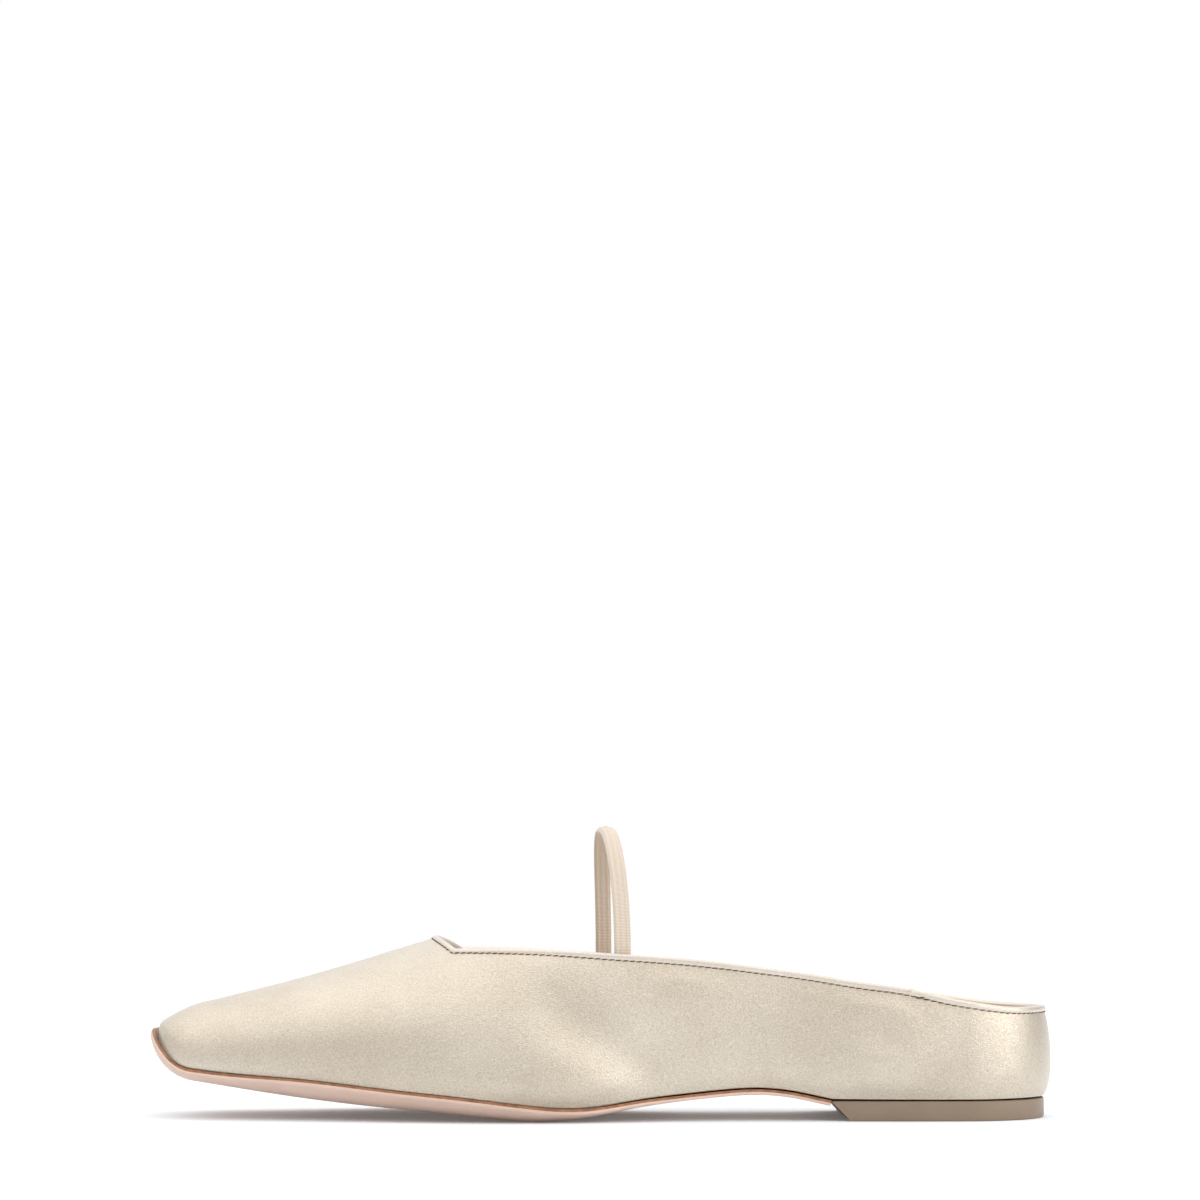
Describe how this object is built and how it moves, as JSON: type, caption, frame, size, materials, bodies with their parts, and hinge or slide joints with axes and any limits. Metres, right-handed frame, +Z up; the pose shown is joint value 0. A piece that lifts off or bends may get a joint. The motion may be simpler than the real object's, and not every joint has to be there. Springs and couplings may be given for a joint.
{
  "type": "flat slip-on shoe",
  "caption": "Low flat slip-on shoe with a soft square toe, a low closed back, a thin cupped leather sole, a low heel block and an elastic strap over the instep.",
  "frame": {"origin": "on the floor, under the middle of the box around the shoe", "axes": "+Z up, +X from the toe towards the heel, +Y towards the inner (big-toe) side of the foot"},
  "size_m": [0.26, 0.075, 0.084],
  "materials": {
    "upper_satin": "champagne silk satin, soft sheen",
    "binding_satin": "champagne satin tape, folded and stitched",
    "sole_leather": "nude waxed sole leather with a brown stained edge",
    "heel_lacquer": "taupe painted heel block",
    "insole_leather": "soft cream lining leather",
    "strap_elastic": "ribbed woven elastic"
  },
  "bodies": {
    "root": {"upper": "upper_satin", "collar_binding": "binding_satin", "outsole": "sole_leather", "heel": "heel_lacquer", "insole": "insole_leather", "instep_strap": "strap_elastic"}
  },
  "joints": []
}
